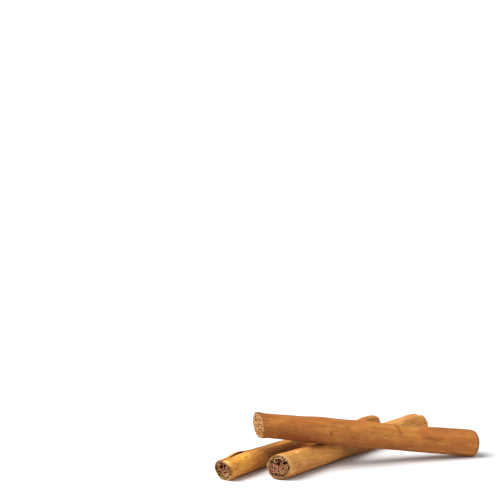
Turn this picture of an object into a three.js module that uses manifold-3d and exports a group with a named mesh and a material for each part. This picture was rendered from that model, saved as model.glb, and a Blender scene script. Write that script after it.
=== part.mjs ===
// Three sticks of true cinnamon as they lie on a table: two side by side, the third leaning across them.
// A stick is a quill: a long sheet of dried inner bark rolled round narrower strips, each rolled up
// itself, and all of them cut off together. Millimetres, +Z up, the table at z = 0, the front at -Y.

import * as THREE from "three";
import { mergeVertices } from "three/addons/utils/BufferGeometryUtils.js";
import Module from "manifold-3d";

const wasm = await Module();
wasm.setup();

const TURN = 2 * Math.PI;
const { degToRad } = THREE.MathUtils;

// The bark, the same in every stick.
const BARK = 0.45; // thickness of a dried sheet
const SPACE = 0.33; // between one turn of a rolled strip and the next
const HOLLOW = 0.16; // radius of the hollow that a strip is rolled round

// The cut ends.
const END_DEPTH = 4.5; // how far the spaces between the sheets are followed in from a cut end
const ROOT = 0.8; // how far a strip is sunk in the solid middle of the stick
const CUT_REACH = 14; // a slanting or uneven cut is taken up over this much of the length

// How the sticks lie.
const PRESSED = 0.16; // depth of the flat spot that a stick rests on
const GAP = 0.3; // clearance left where one stick leans on another
const STEEP = 14; // degrees of lean to start from, steeper than any lean here

// How finely a stick is faceted.
const WRAP_SIDES = 44;
const RING_EVERY = 4;
const STRIP_SIDES_PER_TURN = 14;

// heading: degrees from +X towards +Y in which the stick points away from its start.
// crossesAt: distance from the start at which the stick lies across another.
// radius, sway to the left, bow upwards, twist in degrees and lobe run along the stick as
// [distance from the start, value] pairs.
// seam: angle of the wrapping sheet's free edge, and hand: the way that sheet winds inwards from it.
// slit: where along the stick that edge has come up, and groove: where the wrap has sunk inwards.
// lining: the angles between which a second sheet lies inside the wrap.
// rolls: the strips inside, at [across, up] from the stick's middle; from: angle of the outer edge.
const lowerLeft = {
  name: "lower_left_stick",
  colour: "#bf8547",
  start: [-55.0, -43.2],
  heading: 53.3,
  length: 114,
  wrapRadius: 4.5,
  radius: [[0, 4.6], [13, 5.1], [24, 4.6], [36, 4.45], [80, 4.25], [103, 3.7], [107, 4.05], [114, 3.9]],
  sway: [[0, 0], [36, 1.6], [80, 0.9], [114, -0.2]],
  bow: [[0, 0], [60, 0.2], [114, 0]],
  twist: [[0, 0], [18, 0], [70, -45], [114, -60]],
  lobe: [[0, 0.03], [60, 0.05], [114, 0.03]],
  lobeAngle: 20,
  seam: 98,
  hand: -1,
  slant: [-0.08, -0.04],
  slit: { from: 5, to: 17, opens: 0.6, depth: 50 },
  rolls: [
    { at: [1.35, 1.1], radius: 2.0, from: 200, hand: -1 },
    { at: [-2.1, 1.0], radius: 1.5, from: 330, hand: 1 },
    { at: [-1.2, -2.1], radius: 1.45, from: 60, hand: 1 },
    { at: [1.35, -2.35], radius: 1.1, from: 120, hand: -1 },
  ],
};
const lowerRight = {
  name: "lower_right_stick",
  colour: "#be8348",
  start: [-33.1, -43.1],
  heading: 51.5,
  length: 107.5,
  wrapRadius: 5.2,
  radius: [[0, 5.45], [10, 5.3], [26, 4.85], [48, 4.95], [80, 4.9], [96, 4.7], [103, 4.9], [107.5, 4.8]],
  sway: [[0, 0], [30, 0.2], [76, 1.2], [107.5, 0]],
  bow: [[0, 0], [30, 0.3], [70, 0], [107.5, 0]],
  twist: [[0, 0], [107.5, 35]],
  lobe: [[0, 0.03], [107.5, 0.06]],
  lobeAngle: 100,
  seam: 20,
  hand: -1,
  slant: [-0.23, 0.02],
  lining: { from: 118, to: 305 },
  groove: { at: 90, wide: 17, depth: 0.9, from: 72, to: 100 },
  rolls: [
    { at: [1.6, -0.9], radius: 2.3, from: 150, hand: 1 },
    { at: [-0.3, 2.75], radius: 1.7, from: 250, hand: -1 },
    { at: [-2.4, 0.4], radius: 1.25, from: 20, hand: 1 },
    { at: [-1.35, -2.45], radius: 1.3, from: 100, hand: -1 },
    { at: [3.0, 1.95], radius: 1.0, from: 30, hand: 1 },
  ],
};
const upper = {
  name: "upper_stick",
  colour: "#b8723a",
  start: [52.2, -3.05],
  heading: 195.6,
  length: 100,
  crossesAt: 69,
  wrapRadius: 5.6,
  radius: [[0, 5.95], [14, 5.85], [34, 5.4], [54, 6.0], [70, 6.05], [84, 5.75], [100, 5.55]],
  sway: [[0, 0], [36, -0.5], [68, 0.2], [100, 0]],
  bow: [[0, 0], [64, 0], [100, 1.0]],
  twist: [[0, 0], [100, -40]],
  lobe: [[0, 0.02], [50, 0.05], [100, 0.03]],
  lobeAngle: 60,
  seam: 215,
  hand: 1,
  slant: [-0.11, 0.05],
  lining: { from: 340, to: 130 },
  rolls: [
    { at: [-1.6, 2.1], radius: 2.2, from: 70, hand: 1 },
    { at: [2.1, 1.45], radius: 1.6, from: 180, hand: -1 },
    { at: [1.2, -2.55], radius: 1.9, from: 300, hand: 1 },
    { at: [-2.7, -1.65], radius: 1.5, from: 10, hand: -1 },
    { at: [3.0, -1.3], radius: 0.9, from: 120, hand: 1 },
  ],
};

// The value at s of a list of [distance, value] pairs, eased from each pair to the next.
function along(pairs, s) {
  const last = pairs.length - 1;
  if (s <= pairs[0][0]) return pairs[0][1];
  if (s >= pairs[last][0]) return pairs[last][1];
  const next = pairs.findIndex(([distance]) => distance > s);
  const [[s0, v0], [s1, v1]] = [pairs[next - 1], pairs[next]];
  return v0 + (v1 - v0) * THREE.MathUtils.smoothstep(s, s0, s1);
}

// How far round from the wrap's free edge an angle lies, as a share of a turn from 0 to 1.
function fromEdge(stick, angle) {
  const turned = (stick.hand * (angle - degToRad(stick.seam))) / TURN;
  return turned - Math.floor(turned);
}

// A cut quill's outline isn't round: it is drawn out two ways, and its wrinkles run slowly round it.
function outline(stick, angle, s) {
  const lobe = along(stick.lobe, s) * Math.cos(2 * (angle - degToRad(stick.lobeAngle)) + s / 60);
  const wrinkle = 0.012 * Math.sin(3 * angle + s / 9) + 0.008 * Math.sin(5 * angle - s / 5);
  return along(stick.radius, s) * (1 + lobe + wrinkle) - sunk(stick, angle, s);
}

// The depth of the groove at an angle and a distance along.
function sunk({ groove }, angle, s) {
  if (!groove) return 0;
  const away = Math.cos(angle - degToRad(groove.at)) - 1;
  const round = Math.exp(away / (1 - Math.cos(degToRad(groove.wide))));
  return groove.depth * round * THREE.MathUtils.smoothstep(s, groove.from, groove.to);
}

// Where the wrap's free edge has come up from the turn under it, by how much at s.
function lifted(stick, angle, s) {
  if (!stick.slit) return 0;
  const { from, to, opens, depth } = stick.slit;
  const reach = THREE.MathUtils.clamp(1 - (fromEdge(stick, angle) * 360) / depth, 0, 1);
  const middle = Math.sin(Math.PI * THREE.MathUtils.clamp((s - from) / (to - from), 0, 1));
  return opens * reach * middle;
}

// The wrap's outer face, which steps in under its free edge.
function surface(stick, angle, s) {
  const untwisted = angle - degToRad(along(stick.twist, s));
  return outline(stick, angle, s) * (1 - (BARK / stick.wrapRadius) * fromEdge(stick, untwisted));
}

// How far below a stick's middle its flat spot is.
function underside(stick, s) {
  const below = Array.from({ length: 17 }, (_, i) => degToRad(190 + 10 * i));
  return Math.max(...below.map((angle) => -surface(stick, angle, s) * Math.sin(angle))) - PRESSED;
}

// Carries a straight model of a stick, with its section in X and Y and its length along Z, to the
// stick's own shape, with its length along +X, its underside on z = 0 and +Y to its left.
function giveShape(geometry, stick) {
  const position = geometry.attributes.position;
  for (let i = 0; i < position.count; i++) {
    const [x, y, s] = [position.getX(i), position.getY(i), position.getZ(i)];
    const [flat, angle] = [Math.hypot(x, y), Math.atan2(y, x)];
    const turned = angle + degToRad(along(stick.twist, s));
    const lift = flat > stick.wrapRadius - 1.6 * BARK ? lifted(stick, angle, s) : 0;
    const radius = (flat / stick.wrapRadius) * outline(stick, turned, s) + lift;
    const [left, up] = [radius * Math.cos(turned), radius * Math.sin(turned)];
    const toEnd = Math.min(s, stick.length - s);
    const slant = (left * stick.slant[0] + up * stick.slant[1]) * Math.max(0, 1 - toEnd / CUT_REACH);
    const middle = underside(stick, s) + along(stick.bow, s);
    position.setXYZ(i, s + slant, left + along(stick.sway, s), up + middle);
  }
  geometry.computeVertexNormals();
}

function polygon(points) {
  return new THREE.Shape(points.map(([x, y]) => new THREE.Vector2(x, y)));
}

// The wrap's outline, one turn of a flat spiral: it steps in by the bark's thickness at the free
// edge. inset moves the whole outline in.
function wrapShape(stick, inset) {
  const points = [];
  for (let i = 0; i <= WRAP_SIDES; i++) {
    const share = Math.min(Math.max(i / WRAP_SIDES, 0.004), 0.996);
    const angle = degToRad(stick.seam) + stick.hand * share * TURN;
    const radius = stick.wrapRadius - inset - BARK * share;
    points.push([radius * Math.cos(angle), radius * Math.sin(angle)]);
  }
  return polygon(stick.hand > 0 ? points : points.reverse());
}

// A bent sheet, seen end on: its outer face is at radiusAt of a share of the way from 0 to 1.
function sheetShape([x, y], from, turns, radiusAt) {
  const sides = Math.ceil(Math.abs(turns) * STRIP_SIDES_PER_TURN);
  const face = (inset) =>
    Array.from({ length: sides + 1 }, (_, i) => {
      const angle = degToRad(from) + (i * turns * TURN) / sides;
      const radius = radiusAt(i / sides, angle) - inset;
      return [x + radius * Math.cos(angle), y + radius * Math.sin(angle)];
    });
  const band = [...face(0), ...face(BARK).reverse()];
  return polygon(turns > 0 ? band : band.reverse());
}

// A strip rolled up from its outer edge, a turn every sheet and space.
function rollShape({ at, radius, from, hand }) {
  const rolledIn = radius - BARK - HOLLOW;
  return sheetShape(at, from, (hand * rolledIn) / (BARK + SPACE), (share) => radius - share * rolledIn);
}

// The second sheet under the wrap, following it at a space.
function liningShape(stick) {
  const { from, to } = stick.lining;
  const under = (_, angle) => stick.wrapRadius - BARK * (1 + fromEdge(stick, angle)) - SPACE;
  return sheetShape([0, 0], from, ((to - from + 360) % 360) / 360, under);
}

// The space under a free edge that has lifted: a wedge from the step down under the wrap.
function slitShape(stick) {
  const foot = stick.wrapRadius - BARK;
  const at = (degrees, radius) => {
    const angle = degToRad(stick.seam + stick.hand * degrees);
    return [radius * Math.cos(angle), radius * Math.sin(angle)];
  };
  const mouth = [at(-9, foot + BARK), at(-3, foot - 0.9 * BARK), at(12, foot - 0.8 * BARK)];
  const under = [at(stick.slit.depth / 2, foot - 0.6 * BARK), at(stick.slit.depth / 2, foot), at(8, foot)];
  const wedge = [...mouth, ...under, at(-0.5, foot + 0.02), at(-0.5, foot + BARK)];
  return polygon(stick.hand > 0 ? wedge : wedge.reverse());
}

function solidOf(geometry) {
  const corners = geometry.clone();
  corners.deleteAttribute("normal");
  corners.deleteAttribute("uv");
  const merged = mergeVertices(corners, 1e-4);
  const vertProperties = merged.attributes.position.array;
  return new wasm.Manifold(new wasm.Mesh({ numProp: 3, vertProperties, triVerts: merged.index.array }));
}

function geometryOf(solid) {
  const { vertProperties, triVerts } = solid.getMesh();
  const geometry = new THREE.BufferGeometry();
  geometry.setAttribute("position", new THREE.BufferAttribute(vertProperties, 3));
  geometry.setIndex(new THREE.BufferAttribute(triVerts, 1));
  return geometry;
}

// A shape carried from one distance along the stick to another, as a solid.
function solidAlong(shape, s0, s1, steps = 1) {
  const geometry = new THREE.ExtrudeGeometry(shape, { depth: s1 - s0, steps, bevelEnabled: false });
  return solidOf(geometry.translate(0, 0, s0));
}

// The wrap with a solid middle, hollowed at both ends, where the rolled strips stand.
function makeStick(stick) {
  const { length } = stick;
  const inside = stick.rolls.map(rollShape);
  if (stick.lining) inside.push(liningShape(stick));
  let solid = solidAlong(wrapShape(stick, 0), 0, length, Math.round(length / RING_EVERY));
  for (const isFarEnd of [false, true]) {
    // From the cut end inwards: a span of the length, whichever end it starts from.
    const span = (s0, s1) => (isFarEnd ? [length - s1, length - s0] : [s0, s1]);
    solid = solid.subtract(solidAlong(wrapShape(stick, BARK), ...span(-1, END_DEPTH)));
    inside.forEach((shape, i) => {
      const shy = 0.15 + 0.3 * (i % 3); // the sheets aren't cut off quite level
      solid = solid.add(solidAlong(shape, ...span(shy, END_DEPTH + ROOT)));
    });
  }
  if (stick.slit) solid = solid.subtract(solidAlong(slitShape(stick), stick.slit.from, stick.slit.to));
  const geometry = geometryOf(solid);
  giveShape(geometry, stick);
  const material = new THREE.MeshStandardMaterial({ color: stick.colour, roughness: 0.75, metalness: 0 });
  const mesh = new THREE.Mesh(geometry, material);
  mesh.name = stick.name;
  mesh.position.set(stick.start[0], stick.start[1], 0);
  mesh.rotation.set(0, 0, degToRad(stick.heading), "ZYX");
  return mesh;
}

// Leans a stick, its start staying where it is, until it is just clear of another that it crosses.
function leanOn(mesh, support, reach) {
  const placed = ({ geometry, matrixWorld }) => solidOf(geometry.clone().applyMatrix4(matrixWorld));
  support.updateMatrixWorld(true);
  mesh.position.z = -PRESSED;
  for (let tries = 0; tries < 8; tries++) {
    mesh.updateMatrixWorld(true);
    const gap = placed(mesh).minGap(placed(support), 3 * reach);
    mesh.rotation.y += (gap - GAP) / reach;
  }
}

// Presses flat whatever of a mesh would reach into the table.
function restOnTable(mesh) {
  mesh.updateMatrixWorld(true);
  const position = mesh.geometry.attributes.position;
  const point = new THREE.Vector3();
  for (let i = 0; i < position.count; i++) {
    mesh.localToWorld(point.fromBufferAttribute(position, i));
    point.z = Math.max(point.z, 0);
    mesh.worldToLocal(point);
    position.setXYZ(i, point.x, point.y, point.z);
  }
}

const meshes = [lowerLeft, lowerRight, upper].map(makeStick);
const [, crossed, leaning] = meshes;
leaning.rotation.y = -degToRad(STEEP);
leanOn(leaning, crossed, upper.crossesAt);
meshes.forEach(restOnTable);

// The origin is on the table, under the middle of the whole.
const bundle = new THREE.Group();
bundle.add(...meshes);
const middle = new THREE.Box3().setFromObject(bundle, true).getCenter(new THREE.Vector3());
bundle.children.forEach((mesh) => mesh.position.sub(new THREE.Vector3(middle.x, middle.y, 0)));
bundle.updateMatrixWorld(true);

export default bundle;
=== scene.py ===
# Three sticks of true cinnamon as they lie on a table: two side by side, the third leaning across them.
# Metres, +Z up, the table at z = 0, the front at -Y.

import math

import bmesh
import bpy
import numpy as np
from mathutils import Matrix, Vector


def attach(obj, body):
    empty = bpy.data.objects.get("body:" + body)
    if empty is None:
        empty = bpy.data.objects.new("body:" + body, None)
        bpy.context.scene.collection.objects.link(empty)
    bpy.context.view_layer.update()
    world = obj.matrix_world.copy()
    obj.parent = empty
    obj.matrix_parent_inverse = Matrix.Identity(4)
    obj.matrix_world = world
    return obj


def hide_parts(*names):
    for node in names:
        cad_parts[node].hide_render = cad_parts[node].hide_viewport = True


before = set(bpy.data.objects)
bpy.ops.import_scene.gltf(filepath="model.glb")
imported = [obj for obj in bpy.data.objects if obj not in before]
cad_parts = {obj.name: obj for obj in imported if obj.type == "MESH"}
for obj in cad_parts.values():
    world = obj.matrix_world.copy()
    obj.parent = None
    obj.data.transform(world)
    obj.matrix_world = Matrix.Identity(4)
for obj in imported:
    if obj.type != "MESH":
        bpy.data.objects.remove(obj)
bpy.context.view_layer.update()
scene = bpy.context.scene


# ---- The camera ----
# A long lens in front of the sticks and a little above them, tilted down. They lie low and to the right
# in its picture.
CAMERA_AT = (-0.0432, -0.6523, 0.1617)
CAMERA_LOOKS_DOWN = math.radians(6.2)
LENS = 108  # mm
SENSOR = 36  # mm
SEES_FROM = 0.01  # how far in front of it its view begins

camera = bpy.data.objects.new("camera", bpy.data.cameras.new("camera"))
camera.data.lens = LENS
camera.data.sensor_width = SENSOR
camera.data.clip_start = SEES_FROM
camera.location = CAMERA_AT
camera.rotation_euler = (math.pi / 2 - CAMERA_LOOKS_DOWN, 0, 0)
scene.collection.objects.link(camera)
scene.camera = camera


# ---- The table and the light ----
# A white table top without a visible edge, in a white room that is dimmer overhead than at its sides.
# Broad soft light falls from the upper left, and a weaker one fills in from the front.
TABLE_HALF = 40.0  # from its middle to each side, far out of sight
TABLE_WHITE = (0.76, 0.76, 0.76, 1)
TABLE_ROUGHNESS = 0.7
TABLE_SHINE = 0.1
OVERHEAD = {"from": Vector((-0.8, -0.33, 1.0)), "width": math.radians(45), "strength": 4.4}
FILL = {"from": Vector((-0.15, -1.0, 0.55)), "width": math.radians(70), "strength": 0.6}
ROOM_SIDES = 1.05  # how bright the room is at its sides, and up to what share of straight up
ROOM_SIDES_TO = 0.06
ROOM_OVERHEAD = 0.45  # how bright it is overhead, and from what share on
ROOM_OVERHEAD_FROM = 0.09

table = bpy.data.meshes.new("table")
near_corners = [(-TABLE_HALF, -TABLE_HALF, 0), (TABLE_HALF, -TABLE_HALF, 0)]
far_corners = [(TABLE_HALF, TABLE_HALF, 0), (-TABLE_HALF, TABLE_HALF, 0)]
table.from_pydata(near_corners + far_corners, [], [(0, 1, 2, 3)])
table_top = bpy.data.objects.new("table", table)
scene.collection.objects.link(table_top)

white = bpy.data.materials.new("white table")
white.use_nodes = True
white_surface = white.node_tree.nodes["Principled BSDF"]
white_surface.inputs["Base Color"].default_value = TABLE_WHITE
white_surface.inputs["Roughness"].default_value = TABLE_ROUGHNESS
white_surface.inputs["Specular IOR Level"].default_value = TABLE_SHINE
table.materials.append(white)

room = bpy.data.worlds.new("white room")
room.use_nodes = True
room_nodes = room.node_tree.nodes
height = room_nodes.new("ShaderNodeSeparateXYZ")
room.node_tree.links.new(room_nodes.new("ShaderNodeTexCoord").outputs["Generated"], height.inputs[0])
dimming = room_nodes.new("ShaderNodeMapRange")
dimming.inputs["From Min"].default_value = ROOM_SIDES_TO
dimming.inputs["From Max"].default_value = ROOM_OVERHEAD_FROM
dimming.inputs["To Min"].default_value = ROOM_SIDES
dimming.inputs["To Max"].default_value = ROOM_OVERHEAD
room.node_tree.links.new(height.outputs["Z"], dimming.inputs["Value"])
room.node_tree.links.new(dimming.outputs["Result"], room_nodes["Background"].inputs["Strength"])
room_nodes["Background"].inputs["Color"].default_value = (1, 1, 1, 1)
scene.world = room

for name, light in (("overhead", OVERHEAD), ("fill", FILL)):
    lamp = bpy.data.objects.new(name, bpy.data.lights.new(name, "SUN"))
    lamp.data.angle = light["width"]
    lamp.data.energy = light["strength"]
    lamp.rotation_euler = (-light["from"]).to_track_quat("-Z", "Y").to_euler()
    scene.collection.objects.link(lamp)
scene.view_settings.view_transform = "Standard"


# ---- The lower left stick's wrap ----
# One long sheet of dried inner bark, rolled a little more than once round the strips inside it. This
# stick is the thinnest and most golden, and close to its front end the sheet's free edge has come up.
BARK = 0.00042  # thickness of the dried sheet
WRAP_TURNS = 1.12  # how many times it goes round
STEP = 0.00045  # how far it moves in for each turn
PRESSED = 0.00016  # depth of the flat spot that a stick rests on
SLOW_WRINKLES = [(0.012, 3, 9), (0.008, 5, -5)]  # depth as a share, folds round, mm along for a radian
LOBE_DRIFT = 60  # mm along a stick in which its widest side moves round by half a radian
CUT_REACH = 0.014  # a slanting cut is taken up over this much of the length
RAGGED_REACH = 0.004  # and a ragged one over this much
RAGGED_SIZES = (0.0024, 0.0005)  # the widths of the tongues and of the splinters of a ragged cut
FIBRE = 0.00035  # the width of the fibres in a cut edge
FIBRES_OUT = 0.14  # how far they stand out of it, as a share of the thickness
FIBRES_UNEVEN = 0.16  # and how much that differs
FRONT_ROW = 3  # where in the random bumps the front cut, the back cut and the fibres are read
BACK_ROW = 9
FIBRE_ROW = 5
WORN_REACH = 0.0014  # how far from the cut a rim is rubbed down
THINNED = 0.00026  # how much thinner the sheet is at its free edge
THINNED_REACH = 14  # and over how many degrees of the wrap
SCAR_DEPTH = 0.00008
# Dents, wrinkles and fibres: their height, their size round the stick and along it, and how much of the
# drift they take.
RELIEF = [(0.00009, 0.005, 0.013, 0), (0.00005, 0.0013, 0.015, 1), (0.00003, 0.0005, 0.006, 2)]
DRIFT = (0.5, 0.006, 0.02)  # how far wrinkles drift sideways, in their own widths, and over what sizes
HIDDEN = 0.01  # how much of a turn the relief takes to run out under the wrap's free edge
ROUND_WRAP = 0.00022  # the mesh's spacing round the wrap
ALONG_WRAP = (0.00025, 1.1, 0.0005)  # its rows: the step at the cuts, its growth, the widest step
MEASURED_AT = 200  # places across a sheet at which its width is measured first
LEAST_ACROSS = 8  # points
GRAIN_APART = 7.3  # how far apart in the grain two sheets lie, in mm
GRAIN_THROUGH = 0.9  # and a sheet's two faces
SHARP_FROM = math.radians(40)  # edges that bend further than this stay sharp
PALE = (0, 0, 0)  # the tones of the cut edges, as shares of tan, pink and olive
TAN = (1, 0, 0)
PINK = (0, 1, 0)
OLIVE = (0, 0, 1)

lower_left = {
    "start": (-0.05415, -0.04684, 0),  # where its front end stands on the table
    "heading": 53.3,  # the way it points, in degrees from +X
    "lean": 0,  # and how steeply it rises
    "length": 0.1158,
    "wrap_radius": 0.0045,  # the radius at which its round section is laid out
    "radius": [(0, 0.00475), (0.013, 0.00505), (0.025, 0.0047), (0.037, 0.0045), (0.08, 0.00425),
               (0.103, 0.0038), (0.108, 0.00415), (0.115, 0.004)],  # the one it has, from end to end
    "sway": [(0, 0), (0.037, 0.0016), (0.08, 0.0009), (0.115, -0.0002)],  # how it bends to the left
    "bow": [(0, 0), (0.06, 0.0002), (0.115, 0)],  # and upwards
    "twist": [(0, 0), (0.013, 0), (0.025, -16), (0.07, -45), (0.115, -60)],  # in degrees
    "lobe": [(0, 0.03), (0.06, 0.05), (0.115, 0.03)],  # how much wider one way than round
    "lobe_angle": 20,  # and which way
    "seam": 82,  # where the wrap's free edge lies
    "hand": -1,  # the way round it is rolled
    "slants": [(0.03, -0.26), (-0.2, -0.06)],  # of the front cut and the back one, across and upwards
    "ragged": 0.00012,  # how uneven the cuts are
    # where the free edge has come up, how far, and how many degrees of the sheet come up with it
    "slit": {"from": 0.005, "to": 0.017, "opens": 0.0006, "depth": 50},
    "worn": (0.0001, 0.00015),  # how far each rim is rubbed down
    "marks_and_painted_light": [  # strokes that darken the bark, or bleach it where their tone is above 0
        # the pale spot on the rim, and two dark stretches of painted shade where the rim stands over the
        # strips
        (1.2, 112, 1.6, 2.2, 0, 0.8), (0, 165, 0.5, 3, 0, -0.8), (0, 45, 0.6, 5, 0, -1),
        # small scars beside the lifted edge
        (4.6, 158, 0.8, 0.3, 0, -1), (6, 151, 1.3, 0.28, 15, -0.5), (3.4, 170, 1, 0.3, -20, -0.5),
        (11, 146, 1.6, 0.3, 8, -0.4), (15, 118, 1.2, 0.3, -12, 0.7),
        # painted shade under the upper stick and along the table
        (44, 156, 14, 2.5, 0, -1), (26, 230, 24, 1.1, 0, -1)],
    "tints_and_painted_light": [  # strokes that steer its own patches: golden above 0, deep brown below
        # the golden strokes at 12 and 44 mm are partly painted highlight; deep brown at 22 to 47 mm is
        # painted shade
        (12, 125, 8, 3, 0, 1), (9, 165, 8, 2, 0, 0.6), (36, 125, 16, 5, 0, -1),
        (32, 178, 14, 2.5, 0, -0.45), (22, 200, 16, 1.6, 0, -0.5), (47, 145, 8, 4, 0, -1),
        (44, 110, 7, 1.5, 0, 1.2), (108, 128, 8, 4, 0, -0.8)],
}


def along(pairs, s):
    """The value at s of a list of (distance, value) pairs, eased from each pair to the next."""
    distance, value = np.array(pairs, float).T
    i = np.clip(np.searchsorted(distance, s, side="right") - 1, 0, len(distance) - 2)
    t = np.clip((s - distance[i]) / (distance[i + 1] - distance[i]), 0, 1)
    return value[i] + (value[i + 1] - value[i]) * t * t * (3 - 2 * t)


def uneven(u, v, seed, bumps=64):
    """Smooth random bumps from -1 to 1 over a plane, one to each unit of u and v, that then repeat."""
    heights = np.random.default_rng(seed).uniform(-1, 1, (bumps, bumps))
    u, v = np.broadcast_arrays(np.asarray(u, float), np.asarray(v, float))
    i, j = np.floor(u).astype(int), np.floor(v).astype(int)
    a, b = u - i, v - j
    a, b = a * a * (3 - 2 * a), b * b * (3 - 2 * b)
    this_i, next_i = i % bumps, (i + 1) % bumps
    this_j, next_j = j % bumps, (j + 1) % bumps
    near = heights[this_i, this_j] * (1 - a) + heights[next_i, this_j] * a
    far = heights[this_i, next_j] * (1 - a) + heights[next_i, next_j] * a
    return near * (1 - b) + far * b


def from_edge(stick, angle):
    """How far round from the wrap's free edge an angle lies, as a share of a turn."""
    return (stick["hand"] * (angle - math.radians(stick["seam"])) / math.tau) % 1


def outline(stick, angle, s):
    """A stick's outer radius: drawn out two ways, with slow wrinkles and where it has one a groove."""
    mm = s * 1000
    widest = math.radians(stick["lobe_angle"])
    lobe = along(stick["lobe"], s) * np.cos(2 * (angle - widest) + mm / LOBE_DRIFT)
    wrinkle = sum(share * np.sin(folds * angle + mm / run) for share, folds, run in SLOW_WRINKLES)
    radius = along(stick["radius"], s) * (1 + lobe + wrinkle)
    if "groove" in stick:
        groove = stick["groove"]
        away = np.cos(angle - math.radians(groove["at"])) - 1
        sunk = np.exp(away / (1 - math.cos(math.radians(groove["wide"]))))
        radius = radius - groove["depth"] * sunk * along([(groove["from"], 0), (groove["to"], 1)], s)
    return radius


def underside(stick, s):
    """How far below a stick's middle its flat spot is, looked for at every 10 degrees under it."""
    below = np.radians(np.arange(190, 351, 10))[:, None]
    s = np.ravel(s)[None, :]
    untwisted = below - np.radians(along(stick["twist"], s))
    step = 1 - STEP / stick["wrap_radius"] * from_edge(stick, untwisted)
    return (-outline(stick, below, s) * step * np.sin(below)).max(0) - PRESSED


def place(stick, x, y, s, lift=0.0):
    """Points of a straight stick, at x and y in its section and s along it, taken to where they lie."""
    flat, angle = np.hypot(x, y), np.arctan2(y, x)
    turned = angle + np.radians(along(stick["twist"], s))
    radius = flat / stick["wrap_radius"] * outline(stick, turned, s) + lift
    left, up = radius * np.cos(turned), radius * np.sin(turned)
    slant = np.zeros(np.shape(s))
    for (across, upwards), to_end in zip(stick["slants"], (s, stick["length"] - s)):
        slant = slant + (left * across + up * upwards) * np.clip(1 - to_end / CUT_REACH, 0, 1)
    rows = np.unique(s)
    middle = np.interp(s, rows, underside(stick, rows)) + along(stick["bow"], s)
    points = np.stack([s + slant, left + along(stick["sway"], s), up + middle], -1)
    turn = Matrix.Rotation(math.radians(stick["heading"]), 3, "Z")
    turn = turn @ Matrix.Rotation(math.radians(-stick["lean"]), 3, "Y")
    return points @ np.array(turn).T + np.array(stick["start"])


def stations(length, finest, growth, widest):
    """Distances along a stick, closest together at the two cut ends."""
    half = [0.0]
    step = finest
    while half[-1] < length / 2:
        half.append(half[-1] + step)
        step = min(step * growth, widest)
    half = np.array(half) * (length / 2 / half[-1])
    return np.concatenate([half, length - half[-2::-1]])


def ragged_rows(stick, rows, u, number, back):
    """The rows of a sheet's mesh, shifted near its two ends so that each cut is a little uneven at
    every u across it. back is what is cut off each end."""
    near = np.clip(1 - rows / RAGGED_REACH, 0, 1)[:, None]
    far = np.clip(1 - (stick["length"] - rows) / RAGGED_REACH, 0, 1)[:, None]
    tongues, splinters = RAGGED_SIZES
    front, rear = [0.5 * uneven(u / tongues, k, number) + 0.5 * uneven(u / splinters, k, number + 1)
                   for k in (FRONT_ROW, BACK_ROW)]
    s = rows[:, None] + near * (back[0] + stick["ragged"] * (1 + front))
    return s - far * (back[1] + stick["ragged"] * (1 + rear))


def band(a, b):
    """The quads between two rows of points."""
    return np.stack([a[:-1], a[1:], b[1:], b[:-1]], -1)


def sheet_quads(n, m):
    """The quads of a closed sheet with n rows of m points on each face and one more row of points along
    the middle of each cut end: first its outer face, then its inner face, then its edges."""
    outer = np.arange(n * m).reshape(n, m)
    inner = outer + n * m
    middle = 2 * n * m + np.arange(2 * m).reshape(2, m)
    faces = [np.concatenate([band(ids[i], ids[i + 1]) for i in range(n - 1)]) for ids in (outer, inner)]
    edges = [band(outer[:, j], inner[:, j]) for j in (0, -1)]
    for k in (0, -1):
        edges += [band(outer[k], middle[k]), band(middle[k], inner[k])]
    return faces + [np.concatenate(edges)]


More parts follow.
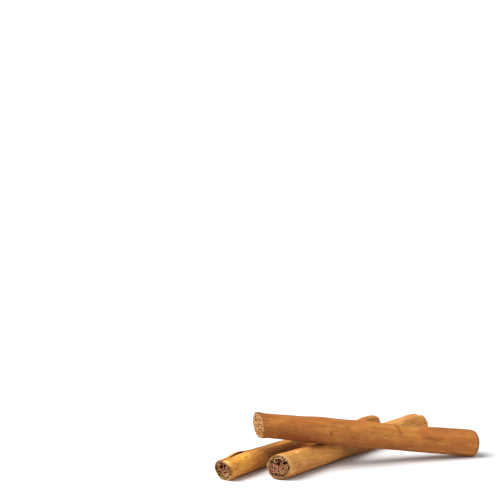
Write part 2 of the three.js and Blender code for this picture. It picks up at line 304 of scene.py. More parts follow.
def bark_sheet(stick, path, rows, spacing, thickness, number, tone, shaped=None, back=(0, 0)):
    """A bent sheet of bark as long as the stick, as one closed mesh with both faces and its edges.
    path gives its outer face's centre, angle and radius at shares t of the way across the sheet.
    tone is the colour of its cut edges. shaped gives how far its middle and its outer face stand
    out. back is what is cut off each end."""
    centre, angle, radius = path(np.linspace(0, 1, MEASURED_AT))
    across = int(np.abs(np.diff(angle) * radius[1:]).sum() / spacing)
    t = np.linspace(0, 1, max(LEAST_ACROSS, across))
    centre, angle, radius = path(t)
    u = np.concatenate([[0], np.abs(np.diff(angle) * radius[1:]).cumsum()])
    s = ragged_rows(stick, rows, u, number, back)
    from_cut = np.minimum(s - s[0], s[-1] - s)
    bend, relief, mark_and_painted_light, tint_and_painted_light = (0, 0, 0, 0) if shaped is None else shaped(u, s, angle, t)

    def face(inset, lift):
        x = np.broadcast_to(centre[0] + (radius - inset) * np.cos(angle), s.shape)
        y = np.broadcast_to(centre[1] + (radius - inset) * np.sin(angle), s.shape)
        return place(stick, x, y, s, lift)

    # Torn fibres stand out along the middle of each cut.
    outer, inner = face(0, bend + relief), face(thickness, bend)
    middle = (outer[[0, -1]] + inner[[0, -1]]) / 2
    outwards = middle - (outer[[1, -2]] + inner[[1, -2]]) / 2
    outwards /= np.linalg.norm(outwards, axis=-1, keepdims=True)
    fibre = thickness * (FIBRES_OUT + FIBRES_UNEVEN * uneven(u / FIBRE, FIBRE_ROW, number))
    middle = middle + outwards * fibre[None, :, None]

    faces = sheet_quads(*s.shape)
    at_cuts, on_a_face = 2 * len(u), s.size
    across_mm, number_mm = np.broadcast_to(u * 1000, s.shape), np.full(s.shape, number * GRAIN_APART)
    grain = np.stack([across_mm, s * 1000, number_mm], -1)
    deeper = grain + (0, 0, GRAIN_THROUGH)
    grains = (grain, deeper, (grain + deeper)[[0, -1]] / 2)
    mark_and_painted_light, tint_and_painted_light = np.broadcast_to(mark_and_painted_light, s.shape), np.broadcast_to(tint_and_painted_light, s.shape)
    return {
        "points": np.concatenate([grid.reshape(-1, 3) for grid in (outer, inner, middle)]),
        "quads": np.concatenate(faces),
        "finish": np.repeat([0, 1, 2], [len(group) for group in faces]),
        "grain": np.concatenate([grid.reshape(-1, 3) for grid in grains]),
        "cut_tone": np.tile(np.array(tone, float), (2 * on_a_face + at_cuts, 1)),
        "from_cut": np.concatenate([from_cut.ravel() * 1000] * 2 + [np.zeros(at_cuts)]),
        "mark_and_painted_light": np.concatenate([mark_and_painted_light.ravel()] * 2 + [mark_and_painted_light[[0, -1]].ravel()]),
        "tint_and_painted_light": np.concatenate([tint_and_painted_light.ravel(), np.zeros(on_a_face + at_cuts)]),
    }


def bark_piece(name, sheets, materials):
    """Joins sheets into one piece. Its materials are for outer faces, inner faces and edges."""
    starts = np.cumsum([0] + [len(sheet["points"]) for sheet in sheets[:-1]])
    joined = {key: np.concatenate([sheet[key] for sheet in sheets]) for key in sheets[0] if key != "quads"}
    joined["points"][:, 2] = np.maximum(joined["points"][:, 2], 0)
    quads = np.concatenate([sheet["quads"] + start for sheet, start in zip(sheets, starts)])
    mesh = bpy.data.meshes.new(name)
    mesh.vertices.add(len(joined["points"]))
    mesh.vertices.foreach_set("co", joined["points"].ravel())
    mesh.loops.add(quads.size)
    mesh.loops.foreach_set("vertex_index", quads.ravel())
    mesh.polygons.add(len(quads))
    mesh.polygons.foreach_set("loop_start", np.arange(0, quads.size, 4))
    mesh.polygons.foreach_set("material_index", joined["finish"])
    for key in ("grain", "cut_tone"):
        mesh.attributes.new(key, "FLOAT_VECTOR", "POINT").data.foreach_set("vector", joined[key].ravel())
    for key in ("from_cut", "mark_and_painted_light", "tint_and_painted_light"):
        mesh.attributes.new(key, "FLOAT", "POINT").data.foreach_set("value", joined[key])
    for material in materials:
        mesh.materials.append(material)
    mesh.update(calc_edges=True)
    shell = bmesh.new()
    shell.from_mesh(mesh)
    bmesh.ops.recalc_face_normals(shell, faces=shell.faces)
    shell.to_mesh(mesh)
    shell.free()
    mesh.polygons.foreach_set("use_smooth", np.ones(len(quads), bool))
    mesh.set_sharp_from_angle(angle=SHARP_FROM)
    piece = bpy.data.objects.new(name, mesh)
    scene.collection.objects.link(piece)
    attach(piece, "root")
    return piece


def wrap_path(stick):
    """The wrap's outer face: a spiral inwards from the sheet's free edge."""
    def path(t):
        angle = math.radians(stick["seam"]) + stick["hand"] * WRAP_TURNS * math.tau * t
        return (0, 0), angle, stick["wrap_radius"] - STEP * WRAP_TURNS * t
    return path


def strokes(given, s, turned, radius):
    """Soft strokes on a wrap, from -1 to 1. Each has its distance along the stick in mm, its angle
    round it, its half length and half width in mm, its tilt from the stick's line, and its tone."""
    shade = np.zeros(s.shape)
    for distance, at, long, wide, tilt, tone in given:
        a = s * 1000 - distance
        b = ((turned - math.radians(at) + math.pi) % math.tau - math.pi) * radius * 1000
        cos, sin = math.cos(math.radians(tilt)), math.sin(math.radians(tilt))
        lengthwise, sideways = (a * cos + b * sin) / long, (b * cos - a * sin) / wide
        shade = shade + tone * np.exp(-lengthwise ** 2 - sideways ** 2)
    return np.clip(shade, -1, 1)


def wrap_shaped(stick):
    """How a wrap is bent and what stands out on it: a lifted edge, slow dents, lengthwise wrinkles and
    fibres, worn rims, a thin free edge and the scars of leaves and twigs."""
    seed = stick["seam"]

    def shaped(u, s, angle, t):
        degrees = t * WRAP_TURNS * 360
        bend = np.zeros(s.shape)
        if "slit" in stick:
            slit = stick["slit"]
            lifted = np.clip(1 - degrees / slit["depth"], 0, 1)
            share = np.clip((s - slit["from"]) / (slit["to"] - slit["from"]), 0, 1)
            bend = slit["opens"] * lifted * np.sin(math.pi * share)
        most, round_it, along_it = DRIFT
        drift = most * uneven(u / round_it, s / along_it, seed + 1)
        relief = np.zeros(s.shape)
        for k, (high, round_it, along_it, drifts) in enumerate(RELIEF):
            relief = relief + high * uneven(u / round_it + drifts * drift, s / along_it, seed + 2 + k)
        for depth, away in zip(stick["worn"], (s - s[0], s[-1] - s)):
            relief = relief - depth * np.clip(1 - away / WORN_REACH, 0, 1) ** 2
        relief = relief - THINNED * np.clip(1 - degrees / THINNED_REACH, 0, 1)
        turned = angle + np.radians(along(stick["twist"], s))
        # the marks and tints: strokes of the bark's own colour, and of painted shade and painted highlight
        mark_and_painted_light = strokes(stick["marks_and_painted_light"], s, turned, stick["wrap_radius"])
        tint_and_painted_light = strokes(stick["tints_and_painted_light"], s, turned, stick["wrap_radius"])
        shown = np.clip((1 - t * WRAP_TURNS) / HIDDEN, 0, 1)
        return bend, (relief + SCAR_DEPTH * mark_and_painted_light) * shown, mark_and_painted_light, tint_and_painted_light
    return shaped


def wrap_sheet(stick, number, tone):
    """The sheet that holds a stick together."""
    rows = stations(stick["length"], *ALONG_WRAP)
    return bark_sheet(stick, wrap_path(stick), rows, ROUND_WRAP, BARK, number, tone, wrap_shaped(stick))


NOISE_ROUGHNESS = 0.55
LINE_EDGE = (0.03, 0.008)  # how far a noise is from its middle value where a line ends, and is full
LINES_HERE = 83  # how far from their own place in the noise it is read where lines show
DARKENS = (-0.1, -1.0)  # a stroke's tone where it begins to darken the bark, and where it is darkest
BLEACHES = (0.15, 0.9)  # and where it begins to bleach it, and is palest
RIM_FULL = 0.5  # mm from the cut that are fully weathered
ROUGH_BETWEEN = 0.62  # how rough the outer face is between its fibres
ROUGH_ON = 0.78  # and on them
ROUGH_INSIDE = 0.8
ROUGH_CUT = 0.85
FACE_SHINE = 0.1  # how strongly the faces shine
CUT_SHINE = 0.15  # and the cut edges


def screen(red, green, blue):
    """A colour as it would be read off a screen, 0 to 255, for a shader: undoes the screen's own curve."""
    return tuple(((c / 255 + 0.055) / 1.055) ** 2.4 for c in (red, green, blue)) + (1,)


def add_node(material, kind, sockets, **settings):
    """A node in a material, with what feeds or fills its sockets."""
    node = material.node_tree.nodes.new(kind)
    for key, value in settings.items():
        setattr(node, key, value)
    for key, value in sockets.items():
        if isinstance(value, bpy.types.NodeSocket):
            material.node_tree.links.new(value, node.inputs[key])
        else:
            node.inputs[key].default_value = value
    return node


def carried(material, name, output="Fac"):
    """What a sheet's points carry under a name, as a socket."""
    return add_node(material, "ShaderNodeAttribute", {}, attribute_name=name).outputs[output]


def product(material, a, b):
    """Two values multiplied."""
    return add_node(material, "ShaderNodeMath", {0: a, 1: b}, operation="MULTIPLY").outputs[0]


def total(material, a, b):
    """Two values added up."""
    return add_node(material, "ShaderNodeMath", {0: a, 1: b}, operation="ADD").outputs[0]


def ranged(material, value, low, high):
    """A socket from 0 at low to 1 at high, either way round."""
    sockets = {"Value": value, "From Min": low, "From Max": high}
    return add_node(material, "ShaderNodeMapRange", sockets).outputs[0]


def over(material, below, above, share, most=1.0):
    """One colour laid over another by a share from 0 to 1."""
    if most != 1.0:
        share = product(material, share, most)
    return add_node(material, "ShaderNodeMix", {0: share, 6: below, 7: above}, data_type="RGBA").outputs[2]


def patches(material, across, along_it, low, high, detail=3.0, bent=0.0, offset=0.0):
    """Random patches in the grain, of a size in mm across it and along it. They go from 0 to 1 where
    their noise goes from low to high. offset takes them from another place of the noise."""
    scaled = add_node(material, "ShaderNodeMapping", {
        "Vector": carried(material, "grain", "Vector"), "Location": (offset, offset, offset),
        "Scale": (1 / across, 1 / along_it, 1)})
    noise = add_node(material, "ShaderNodeTexNoise", {
        "Vector": scaled.outputs["Vector"], "Scale": 1.0, "Detail": detail,
        "Roughness": NOISE_ROUGHNESS, "Distortion": bent})
    return ranged(material, noise.outputs["Fac"], low, high)


def wavy_lines(material, offset):
    """Thin lines, here and there: the places where a long noise passes its middle value."""
    wave = patches(material, 2.2, 16, 0, 1, detail=1.5, bent=0.8, offset=offset)
    from_middle = add_node(material, "ShaderNodeMath", {0: wave, 1: 0.5}, operation="SUBTRACT").outputs[0]
    off = add_node(material, "ShaderNodeMath", {0: from_middle}, operation="ABSOLUTE").outputs[0]
    here = patches(material, 2.6, 9, 0.48, 0.6, offset=offset + LINES_HERE)
    return product(material, ranged(material, off, *LINE_EDGE), here)


def new_finish(name):
    """A new material and its surface shader."""
    material = bpy.data.materials.new(name)
    material.use_nodes = True
    return material, material.node_tree.nodes["Principled BSDF"]


def dress(material, surface, colour, height, strength, depth, shine, sunk=False):
    """Gives a surface its colour, and a fine relief that stands out or is sunk by a depth."""
    sockets = {"Height": height, "Strength": strength, "Distance": depth}
    bump = add_node(material, "ShaderNodeBump", sockets, invert=sunk)
    material.node_tree.links.new(colour, surface.inputs["Base Color"])
    material.node_tree.links.new(bump.outputs["Normal"], surface.inputs["Normal"])
    surface.inputs["Specular IOR Level"].default_value = shine


def outer_bark(name, tones):
    """The scraped outer face: soft patches of ochre and brown, fine fibres along it, thin pale and dark
    wavy lines, a few dark specks, a rim that has weathered, and painted shade and painted highlight
    from the wrap's strokes."""
    material, surface = new_finish(name)

    # soft patches, steered by the tints that the wrap carries, which also hold painted shade and painted
    # highlight
    tint_and_painted_light = carried(material, "tint_and_painted_light")
    broad = total(material, patches(material, 5, 16, 0.3, 0.7), product(material, tint_and_painted_light, 0.6))
    colour = over(material, tones["brown"], tones["tan"], ranged(material, broad, 0.15, 0.85))
    gilt = total(material, patches(material, 4, 9, 0.5, 0.75, offset=31), product(material, tint_and_painted_light, 0.8))
    gilt = ranged(material, gilt, 0.1, 1.0)
    colour = over(material, colour, tones["gold"], gilt, most=tones["golden"])
    ruddy = patches(material, 2.2, 11, 0.5, 0.7, offset=57)
    colour = over(material, colour, tones["red"], ruddy, most=0.5)
    # deep brown where a stroke's tone is below 0: darker bark, and painted shade where the sticks shade
    # each other
    colour = over(material, colour, tones["deep"], ranged(material, tint_and_painted_light, *DARKENS), most=0.8)

    # fibres, lines and specks
    fibres = patches(material, 0.7, 9, 0.4, 0.64, detail=4, bent=0.5, offset=12)
    colour = over(material, colour, tones["deep"], fibres, most=0.3)
    fine = patches(material, 0.2, 2, 0.35, 0.7, offset=73)
    colour = over(material, colour, tones["pale"], fine, most=0.18)
    pale_lines = wavy_lines(material, offset=5)
    colour = over(material, colour, tones["pale"], pale_lines, most=tones["lines"])
    dark_lines = wavy_lines(material, offset=66)
    colour = over(material, colour, tones["deep"], dark_lines, most=tones["lines"])
    specks = patches(material, 0.5, 1.0, 0.62, 0.7, detail=2, offset=140)
    colour = over(material, colour, tones["speck_and_painted_shade"], specks, most=tones["specks"])

    # the weathered rim, and the scars, which also carry painted shade and a painted highlight
    weather = patches(material, 0.8, 1.5, 0.9, 0.1, offset=9)
    uneven_rim = total(material, carried(material, "from_cut"), weather)
    rim = ranged(material, uneven_rim, tones["rim_wide"] + RIM_FULL, RIM_FULL)
    colour = over(material, colour, tones["rim"], rim)
    mark_and_painted_light = carried(material, "mark_and_painted_light")
    colour = over(material, colour, tones["speck_and_painted_shade"], ranged(material, mark_and_painted_light, *DARKENS), most=0.8)
    colour = over(material, colour, tones["pale"], ranged(material, mark_and_painted_light, *BLEACHES))

    # what stands out, and what is sunk
    high = total(material, product(material, fibres, 0.6), product(material, fine, 0.4))
    high = total(material, high, product(material, dark_lines, 0.5))
    high = total(material, high, product(material, specks, -0.8))
    dress(material, surface, colour, high, strength=0.5, depth=0.00012, shine=FACE_SHINE)
    sockets = {"Value": fibres, "To Min": ROUGH_BETWEEN, "To Max": ROUGH_ON}
    rough = add_node(material, "ShaderNodeMapRange", sockets).outputs[0]
    material.node_tree.links.new(rough, surface.inputs["Roughness"])
    return material


def inner_bark(name, tones):
    """The inner face: darker and redder than the outer, with coarse fibres."""
    material, surface = new_finish(name)
    fibres = patches(material, 0.3, 5, 0.35, 0.7, detail=4, offset=21)
    ruddy = patches(material, 2, 5, 0.4, 0.7, offset=3)
    colour = over(material, tones["inside"], tones["brown"], ruddy, most=0.6)
    colour = over(material, colour, tones["deep"], fibres, most=0.5)
    dress(material, surface, colour, fibres, strength=0.6, depth=0.0001, shine=FACE_SHINE)
    surface.inputs["Roughness"].default_value = ROUGH_INSIDE
    return material


def cut_bark(name, tones):
    """The cut edges: pale, tan, pinkish or olive from one sheet to the next, with bright torn fibres,
    dark stretches where the rim is marked, which are partly painted shade, and fine dark pits."""
    material, surface = new_finish(name)
    tone = carried(material, "cut_tone", "Vector")
    shares = add_node(material, "ShaderNodeSeparateXYZ", {0: tone}).outputs
    colour = tones["cut"]
    for share, shade, offset in zip(shares, ("cut_tan", "cut_pink", "cut_olive"), (0, 40, 77)):
        stained = total(material, share, patches(material, 1.3, 50, 0.4, 1.4, detail=2, offset=offset))
        colour = over(material, colour, tones[shade], ranged(material, stained, 0.2, 1.0))
    bright = patches(material, 0.5, 0.5, 0.54, 0.62, detail=1, offset=90)
    colour = over(material, colour, tones["cut"], bright)
    # the marked stretches of a rim, partly painted shade
    marked = ranged(material, carried(material, "mark_and_painted_light"), *DARKENS)
    colour = over(material, colour, tones["inside"], marked, most=0.75)
    pits = patches(material, 0.4, 0.4, 0.53, 0.6, detail=2, offset=15)
    colour = over(material, colour, tones["inside"], pits, most=0.85)
    dress(material, surface, colour, pits, strength=0.7, depth=0.0001, shine=CUT_SHINE, sunk=True)
    surface.inputs["Roughness"].default_value = ROUGH_CUT
    return material


# The last four of a bark's tones are how strongly its golden patches, its lines and its specks show, and
# how wide its weathered rim is, in mm.
golden = {
    "brown": screen(200, 126, 49), "tan": screen(222, 151, 67), "gold": screen(253, 181, 63),
    "red": screen(200, 118, 54), "deep": screen(102, 53, 14), "pale": screen(253, 205, 130),
    "speck_and_painted_shade": screen(100, 55, 21), "rim": screen(162, 113, 58), "inside": screen(70, 38, 20),
    "cut": screen(212, 162, 110), "cut_tan": screen(150, 101, 57), "cut_pink": screen(186, 116, 98),
    "cut_olive": screen(153, 128, 62), "golden": 0.8, "lines": 0.35, "specks": 0.5, "rim_wide": 0.7,
}
golden_outer = outer_bark("golden outer bark", golden)
golden_inner = inner_bark("golden inner bark", golden)
golden_cut = cut_bark("golden cut edge", golden)
lower_left_wrap = bark_piece("lower_left_wrap", [wrap_sheet(lower_left, 1, OLIVE)],
                             [golden_outer, golden_inner, golden_cut])
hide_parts("lower_left_stick")


# ---- The lower left stick's strips ----
# Thinner strips of the same bark, each curled into a scroll as it dried, pushed into the wrap side by
# side from end to end. One of them is curled so loosely that a dark hole runs down its middle.
ROUND_SCROLL = 0.0002  # the mesh's spacing round a scroll
ALONG_SCROLL = (0.0003, 1.3, 0.006)  # its rows: the step at the cuts, its growth, the widest step
LINING_STEP = 0.00038  # how far apart the strips against the wrap lie
LINING_GAP = 0.00004  # and how far from the wrap
LINING_BACK = 0.3  # their share of how far back a strip may end
WALL_TRIES = 4  # how often the way out to the wall is measured again, each time from a better place
SWOLLEN = 1.07  # how much a wet scroll fills the room it has
CORNERS = 8  # the more, the sharper the corners of a pressed scroll
LEAST_GAP = 0.00002  # between two scrolls
NEVER_NOTHING = 1e-7  # keeps a division from failing
SMOOTHED = 9  # how many degrees to each side a pressed scroll's outline is evened out over
SHRUNK = 0.015  # how much it has shrunk in drying, as a share
SHRUNK_PATCHES = 2.2  # how often that changes round it
SHRUNK_SEED = 31
SLIVER = 0.8  # the thickness of the smallest curls, as a share of their radius
CORE_ROOM = 1.1  # a scroll's least core, in thicknesses of its strip
TURN_ROOM = 1.02  # the least that it moves in for each turn
LEAST_TURNS = 0.85
MOVES_IN_FROM = 0.75  # a scroll moves in over the last quarter of each turn

lower_left_inside = {
    "strip": 0.00029,  # thickness of a strip
    "step": 0.00044,  # how far a scroll moves in for each turn
    "back": 0.0005,  # how much further back than the wrap a strip may end
    "pressed": 1.5,  # how much further than its own radius a scroll can be pressed out
    # each scroll's middle and radius, the angle of its outer edge, its hand, its core and its tone
    "scrolls": [
        (0.0014, 0.0012, 0.002, 200, 1, 0.0008, PINK),
        (-0.0023, 0.001, 0.0016, 60, -1, 0.0003, TAN),
        (0.0012, -0.0025, 0.0012, 60, 1, 0.0004, OLIVE),
        (-0.0016, -0.0023, 0.0014, 120, -1, 0.0003, PALE),
        (-0.0008, 0.0033, 0.0006, 290, 1, 0.0003, TAN),
        (-0.0002, -0.0009, 0.0007, 200, 1, 0.0003, PINK),
        (0.0032, -0.001, 0.0006, 200, 1, 0.0003, OLIVE),
    ],
    # the middle and radius of each room left empty
    "holes": [(-0.0003, 0.002, 0.0002)],
    # each strip against the wrap: from which angle to which, how many lie outside it, and its tone
    "linings": [(20, 60, 0, OLIVE)],
}


def hollow(stick, angle):
    """The radius inside a wrap at an angle."""
    turn = from_edge(stick, angle)
    return stick["wrap_radius"] - BARK - STEP * np.where(turn < WRAP_TURNS - 1, turn + 1, turn)


def wall(stick, inside, angle):
    """The radius that scrolls can fill at an angle: strips against the wrap take some of it."""
    layers = np.zeros(np.shape(angle))
    for start, end, layer, tone in inside["linings"]:
        here = (np.degrees(angle) - start) % 360 <= end - start
        layers = np.where(here, np.maximum(layers, layer + 1), layers)
    return hollow(stick, angle) - LINING_STEP * layers


def reach(stick, inside, k):
    """How far scroll k goes at each degree round it: out to its neighbours, to the holes left between
    them and to the wall, as wet strips do when they are pressed together, but with rounded corners."""
    cx, cy, radius = inside["scrolls"][k][:3]
    angle = np.radians(np.arange(360))
    dx, dy = np.cos(angle), np.sin(angle)
    towards = cx * dx + cy * dy
    far = np.full(360, radius)
    for tries in range(WALL_TRIES):
        edge = wall(stick, inside, np.arctan2(cy + dy * far, cx + dx * far))
        far = -towards + np.sqrt(np.maximum(towards ** 2 - cx ** 2 - cy ** 2 + edge ** 2, 0))
    limits = [far, np.full(360, radius * inside["pressed"])]
    rooms = [scroll[:3] for scroll in inside["scrolls"]] + inside["holes"]
    for other, (ox, oy, other_radius) in enumerate(rooms):
        if other != k:
            facing = (ox - cx) * dx + (oy - cy) * dy
            shared = ((ox - cx) ** 2 + (oy - cy) ** 2 + radius ** 2 - other_radius ** 2) / 2
            limits.append(shared / np.maximum(facing, NEVER_NOTHING))
    limits = np.array(limits)
    far = np.minimum(SWOLLEN * (limits ** -CORNERS).sum(0) ** (-1 / CORNERS), limits.min(0) - LEAST_GAP)
    far = np.mean([np.roll(far, i) for i in range(-SMOOTHED, SMOOTHED + 1)], axis=0)
    return far * (1 - SHRUNK * (1 + uneven(dx * SHRUNK_PATCHES, dy * SHRUNK_PATCHES, SHRUNK_SEED + k)))


def strip_thickness(inside, scroll):
    """A strip's thickness: the smallest curls are thin slivers."""
    return min(inside["strip"], scroll[2] * SLIVER)


def scroll_path(inside, scroll, far):
    """A scroll's outer face: a spiral from as far out at each angle as far says in to its core."""
    cx, cy, radius, start, hand, core = scroll[:6]
    core = max(core, strip_thickness(inside, scroll) * CORE_ROOM)
    closest = strip_thickness(inside, scroll) * TURN_ROOM
    turns = max(LEAST_TURNS, min((far.mean() - core) / inside["step"], (far.min() - core) / closest))

    def path(t):
        turn = turns * t
        angle = math.radians(start) + hand * math.tau * turn
        level = np.floor(turn) + np.clip((turn % 1 - MOVES_IN_FROM) / (1 - MOVES_IN_FROM), 0, 1)
        out = np.interp(np.degrees(angle) % 360, np.arange(361), np.append(far, far[0]))
        return (cx, cy), angle, np.maximum(core + (out - core) * (1 - level / turns), core)
    return path


def lining_path(stick, lining):
    """A strip that lies against the wrap's inner face, or against such a strip."""
    start, end, layer, tone = lining

    def path(t):
        angle = math.radians(start) + t * math.radians(end - start)
        return (0, 0), angle, hollow(stick, angle) - LINING_GAP - layer * LINING_STEP
    return path


def strips(stick, inside, seed):
    """All the sheets that fill a wrap."""
    rows = stations(stick["length"], *ALONG_SCROLL)
    scrolls, linings = inside["scrolls"], inside["linings"]
    paths = [scroll_path(inside, scroll, reach(stick, inside, k)) for k, scroll in enumerate(scrolls)]
    paths += [lining_path(stick, lining) for lining in linings]
    thick = [strip_thickness(inside, scroll) for scroll in scrolls] + [inside["strip"]] * len(linings)
    tones = [strip[-1] for strip in scrolls + linings]
    back = np.random.default_rng(seed).uniform(0, inside["back"], (len(paths), 2))
    back[len(scrolls):] *= LINING_BACK
    return [bark_sheet(stick, path, rows, ROUND_SCROLL, thick[k], seed + k, tones[k], back=back[k])
            for k, path in enumerate(paths)]


lower_left_strips = bark_piece("lower_left_strips", strips(lower_left, lower_left_inside, seed=10),
                               [golden_inner, golden_inner, golden_cut])
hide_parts("lower_left_stick")


# ---- The lower right stick's wrap ----
# A broader, drier sheet with a sunken line along its top towards the far end. It has a dull tan face
# with small dark specks, and its front rim is frayed.
lower_right = {
    "start": (-0.03152, -0.04574, 0),
    "heading": 51.5,
    "lean": 0,
    "length": 0.1085,
    "wrap_radius": 0.0052,
    "radius": [(0, 0.0056), (0.01, 0.00545), (0.026, 0.005), (0.048, 0.00495), (0.08, 0.00495),
               (0.096, 0.00505), (0.103, 0.0052), (0.1085, 0.0051)],
    "sway": [(0, 0), (0.03, 0.0002), (0.076, 0.0012), (0.1085, 0)],
    "bow": [(0, 0), (0.03, 0.0003), (0.07, 0), (0.1085, 0)],
    "twist": [(0, 0), (0.1085, 35)],
    "lobe": [(0, 0.03), (0.1085, 0.06)],
    "lobe_angle": 100,
    "seam": 20,
    "hand": -1,
    "slants": [(-0.23, -0.04), (-0.23, 0.02)],
    "ragged": 0.00032,
    "groove": {"at": 90, "wide": 17, "depth": 0.0009, "from": 0.072, "to": 0.1},
    "worn": (0.0001, 0.00015),
    "marks_and_painted_light": [
        # the frayed rim: dark at the bottom with cracks and painted shade, pale at the side, with chips
        # out of it
        (0, 255, 1.2, 6, 0, -1), (3, 200, 2.5, 1.5, 0, 0.45), (0.5, 172, 0.5, 0.4, 0, -0.7),
        (1.4, 188, 0.5, 0.3, 30, -0.7), (0.7, 205, 0.5, 0.4, 0, -0.8), (2.1, 218, 0.8, 0.4, -20, -0.8),
        (1, 232, 0.7, 0.5, 0, -1), (2.9, 236, 1, 0.4, 10, -1), (1.2, 144, 0.5, 0.3, 40, -0.5),
        # a raised scar painted pale partly as a highlight, with a dark edge, and specks
        (10.6, 112, 0.9, 0.6, 20, 1), (11.6, 106, 0.8, 0.3, 60, -0.6), (8, 175, 1.1, 0.4, 10, -0.9),
        (20, 140, 0.8, 0.3, 0, -0.6), (27, 160, 0.7, 0.35, 30, -0.6), (16, 200, 0.9, 0.3, 5, -0.5),
        # painted shade along the table
        (36, 238, 26, 1.2, 0, -1)],
    # the deep brown strokes at 24 to 60 mm are painted shade, under the upper stick and on the lower side
    "tints_and_painted_light": [(14, 105, 9, 3, 0, 0.15), (25, 114, 6, 2, 0, -0.8), (22, 150, 20, 2.2, 0, 0.6),
              (24, 205, 30, 1.8, 0, -0.3), (98, 127, 8, 4, 0, -0.6), (90, 80, 8, 2, 0, 0.5),
              (50, 175, 11, 4, 0, -1), (60, 215, 10, 2.5, 0, -0.8)],
}
tan = {
    "brown": screen(193, 124, 57), "tan": screen(216, 148, 77), "gold": screen(208, 163, 76),
    "red": screen(198, 121, 64), "deep": screen(124, 78, 32), "pale": screen(253, 200, 131),
    "speck_and_painted_shade": screen(104, 60, 29), "rim": screen(214, 166, 110), "inside": screen(64, 36, 20),
    "cut": screen(193, 149, 103), "cut_tan": screen(158, 110, 69), "cut_pink": screen(164, 98, 83),
    "cut_olive": screen(126, 100, 52), "golden": 0.5, "lines": 0.3, "specks": 0.7, "rim_wide": 2.0,
}
tan_outer = outer_bark("tan outer bark", tan)
tan_inner = inner_bark("tan inner bark", tan)
tan_cut = cut_bark("tan cut edge", tan)
lower_right_wrap = bark_piece("lower_right_wrap", [wrap_sheet(lower_right, 2, TAN)],
                              [tan_outer, tan_inner, tan_cut])
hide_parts("lower_right_stick")


# ---- The lower right stick's strips ----
# Eight scrolls, and strips pressed flat against the wrap. They have dried and shrunk, so that a row
# of dark gaps is left between the strips at the top and the scrolls under them.
lower_right_inside = {
    "strip": 0.0003,
    "step": 0.00045,
    "back": 0.0005,
    "pressed": 1.5,
    "scrolls": [
        (-0.0018, -0.0006, 0.002, 150, 1, 0.0004, TAN),
        (0.0021, -0.0006, 0.0017, 80, -1, 0.0003, PINK),
        (-0.0006, -0.0031, 0.001, 20, 1, 0.0003, TAN),
        (0.0029, 0.0018, 0.001, 200, -1, 0.0006, PALE),
        (0.0011, 0.0022, 0.0008, 100, -1, 0.0003, TAN),
        (-0.0011, 0.0023, 0.0007, 30, 1, 0.0003, PINK),
        (0.0012, -0.0032, 0.0008, 240, 1, 0.0003, PALE),
        (-0.0036, 0.0012, 0.0005, 240, 1, 0.0003, TAN),
    ],
    "holes": [(0.0003, 0.0013, 0.0008), (-0.0024, 0.0019, 0.0008), (-0.0018, -0.0036, 0.0006),
              (0.0003, -0.0037, 0.0004), (0.0021, 0.001, 0.0003), (-0.0043, 0.0002, 0.0004)],
    "linings": [(45, 150, 0, OLIVE), (52, 142, 1, OLIVE), (60, 120, 2, PALE), (190, 340, 0, OLIVE),
                (215, 290, 1, TAN)],
}
lower_right_strips = bark_piece("lower_right_strips", strips(lower_right, lower_right_inside, seed=40),
                                [tan_inner, tan_inner, tan_cut])
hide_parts("lower_right_stick")


# ---- The upper stick's wrap ----
# The thickest sheet and the reddest, smooth from handling, with the V-shaped scars of small twigs
# along its front. It leans on the lower right stick, and its foot stands on the table.
HALF_TAN = (0.5, 0, 0)

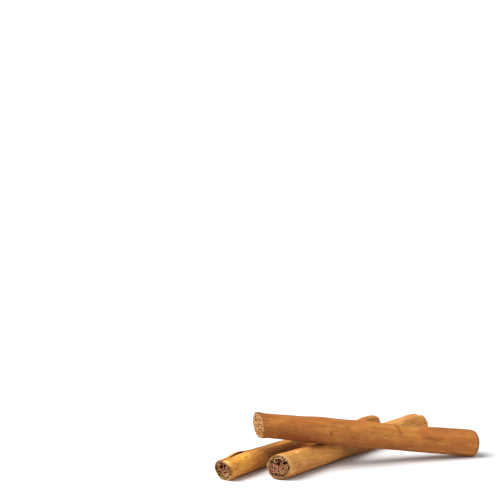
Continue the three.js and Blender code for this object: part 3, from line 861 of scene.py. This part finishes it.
upper = {
    "start": (0.05435, -0.0042, -0.00016),
    "heading": 196.23,
    "lean": 8.28,
    "length": 0.1000,
    "wrap_radius": 0.0056,
    "radius": [(0, 0.00605), (0.014, 0.006), (0.034, 0.0057), (0.054, 0.0062), (0.07, 0.0062),
               (0.084, 0.0058), (0.096, 0.0056), (0.1, 0.0059)],
    "sway": [(0, 0), (0.036, -0.0005), (0.068, 0.0002), (0.1006, 0)],
    "bow": [(0, 0), (0.064, 0), (0.096, 0.0009), (0.1, 0.0006)],
    "twist": [(0, 0), (0.1006, -40)],
    "lobe": [(0, 0.02), (0.05, 0.05), (0.1006, 0.03)],
    "lobe_angle": 60,
    "seam": 215,
    "hand": 1,
    "slants": [(-0.11, 0.05), (-0.11, 0.24)],
    "ragged": 0.00012,
    "worn": (0.0003, 0.0001),
    "marks_and_painted_light": [
        # the long scar of a twig, and the small ones round it
        (37.9, 62, 1.8, 0.7, 62, -0.95), (37, 31, 1.2, 0.8, 70, -0.75), (40.3, 55, 1.5, 0.7, 62, 0.4),
        (42.5, 17, 2.4, 0.45, -20, -0.5), (31, -4, 1.4, 0.35, 40, -0.4), (32.4, -12, 1.6, 0.35, -35, -0.4),
        # wavy lines side by side
        (24, 18, 3.5, 0.35, -12, -0.5), (20, 10, 4, 0.35, 8, -0.55), (22, 3, 3, 0.35, -5, -0.5),
        (16, 14, 1.6, 0.3, 70, -0.4), (14.5, 4, 1.4, 0.3, 80, -0.4), (18, -3, 3, 0.35, 6, 0.5),
        (31, -40, 2, 0.3, 3, 0.6), (7, -37, 5, 0.4, 2, 0.7),
        # a round scar with dark ends, and specks
        (69.1, 1, 1.1, 0.55, 85, -1), (64.8, 33, 3.2, 0.6, 3, 0.4), (61.7, 27, 0.9, 0.5, 10, -1),
        (73, 27, 1.6, 0.35, 0, -0.6), (58.7, -8, 1.1, 0.45, 20, -0.8), (79, -27, 1, 0.4, -30, -0.8),
        (77, -24, 1, 0.5, 10, 0.4), (87.5, 20, 1.4, 1.6, 0, 0.2),
        # painted shade on the underside over the lower left stick, and the dark stretches of the cut rim
        (84, -74, 13, 1.3, 0, -0.9), (99.8, 80, 0.8, 1.8, 0, -1), (99.6, 235, 0.9, 3, 0, -1)],
    # the deep brown strokes low on the front at 45, 82 and 86 mm are painted shade, darker towards the
    # bottom
    "tints_and_painted_light": [(41, 45, 15, 4, 0, 1), (93, 70, 8, 4, 0, 0.2), (86, -28, 12, 2.6, 4, -1),
              (82, -68, 20, 2.2, 0, -1), (45, -40, 20, 3, 0, -0.6), (79, 30, 12, 3, 0, -0.4),
              (14, 60, 12, 3, 0, -0.4), (26, 30, 6, 1.2, 10, -0.5), (20, 14, 5, 1, -8, -0.5),
              (16, 32, 4, 1.3, 0, 0.5), (22, 0, 6, 1.2, 4, 0.5), (70, 44, 7, 1, 0, 0.4),
              (74, 12, 8, 1, 4, 0.4)],
}
red_brown = {
    "brown": screen(150, 87, 40), "tan": screen(172, 105, 48), "gold": screen(197, 139, 61),
    "red": screen(165, 91, 45), "deep": screen(123, 68, 31), "pale": screen(201, 144, 84),
    "speck_and_painted_shade": screen(97, 51, 23), "rim": screen(126, 95, 62), "inside": screen(72, 38, 20),
    "cut": screen(202, 149, 94), "cut_tan": screen(170, 115, 66), "cut_pink": screen(172, 109, 78),
    "cut_olive": screen(168, 128, 70), "golden": 0.6, "lines": 0.3, "specks": 0.4, "rim_wide": 1.2,
}
red_brown_outer = outer_bark("red-brown outer bark", red_brown)
red_brown_inner = inner_bark("red-brown inner bark", red_brown)
red_brown_cut = cut_bark("red-brown cut edge", red_brown)
upper_wrap = bark_piece("upper_wrap", [wrap_sheet(upper, 3, HALF_TAN)],
                        [red_brown_outer, red_brown_inner, red_brown_cut])
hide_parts("upper_stick")


# ---- The upper stick's strips ----
# Many strips packed so tightly that its left end looks almost solid, with only small pits.
upper_inside = {
    "strip": 0.00036,
    "step": 0.0004,
    "back": 0.00015,
    "pressed": 1.6,
    "scrolls": [
        (-0.0017, 0.0015, 0.0015, 70, 1, 0.0003, PALE),
        (0.0012, 0.0017, 0.0014, 110, -1, 0.0003, PALE),
        (0.0019, -0.0009, 0.0014, 300, 1, 0.0003, PALE),
        (-0.0007, -0.0017, 0.0016, 10, -1, 0.0003, PALE),
        (-0.0028, -0.0007, 0.0007, 10, -1, 0.0003, PALE),
        (-0.0002, 0.0032, 0.0005, 200, -1, 0.0003, PALE),
        (0.0012, -0.003, 0.0006, 300, -1, 0.0003, PALE),
    ],
    "holes": [],
    "linings": [(0, 359, 0, TAN), (20, 340, 1, PALE), (60, 400, 2, TAN)],
}
upper_strips = bark_piece("upper_strips", strips(upper, upper_inside, seed=70),
                          [red_brown_inner, red_brown_inner, red_brown_cut])
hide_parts("upper_stick")
